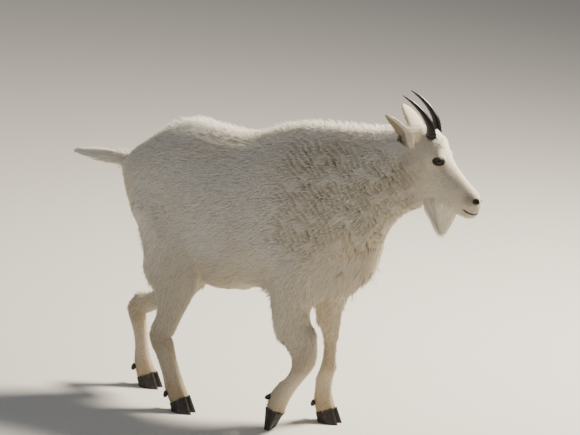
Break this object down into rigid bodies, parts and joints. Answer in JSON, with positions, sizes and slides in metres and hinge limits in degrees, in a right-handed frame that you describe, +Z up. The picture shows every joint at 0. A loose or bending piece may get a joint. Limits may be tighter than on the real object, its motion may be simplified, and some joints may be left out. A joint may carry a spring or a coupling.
{
  "type": "mountain goat",
  "caption": "Life-size standing mountain goat in a short white summer coat, in mid-step with one forefoot on its toes, with slender black horns, a beard and a short tail.",
  "frame": {"origin": "middle of the animal's box at the level its feet stand on", "axes": "+X towards the nose, +Y towards the animal's left, +Z up"},
  "size_m": [1.3134, 0.3, 1.0672],
  "materials": {
    "coat": "short creamy white fur",
    "horn": "black horn, ringed at its foot, with a soft sheen",
    "hoof": "dark worn horn",
    "eye": "wet dark brown eye"
  },
  "bodies": {
    "root": {"dewclaw_fore_left_inner": "hoof", "dewclaw_fore_left_outer": "hoof", "dewclaw_fore_right_inner": "hoof", "dewclaw_fore_right_outer": "hoof", "dewclaw_hind_left_inner": "hoof", "dewclaw_hind_left_outer": "hoof", "dewclaw_hind_right_inner": "hoof", "dewclaw_hind_right_outer": "hoof", "ear_left": "coat", "ear_right": "coat", "eye_left": "eye", "eye_right": "eye", "foreleg_left_lower": "coat", "foreleg_left_upper": "coat", "foreleg_right_lower": "coat", "foreleg_right_upper": "coat", "head": "coat", "hind_leg_left_lower": "coat", "hind_leg_left_middle": "coat", "hind_leg_left_upper": "coat", "hind_leg_right_lower": "coat", "hind_leg_right_middle": "coat", "hind_leg_right_upper": "coat", "hoof_fore_left_inner": "hoof", "hoof_fore_left_outer": "hoof", "hoof_fore_right_inner": "hoof", "hoof_fore_right_outer": "hoof", "hoof_hind_left_inner": "hoof", "hoof_hind_left_outer": "hoof", "hoof_hind_right_inner": "hoof", "hoof_hind_right_outer": "hoof", "horn_left": "horn", "horn_right": "horn", "neck": "coat", "tail": "coat", "torso": "coat"}
  },
  "joints": []
}
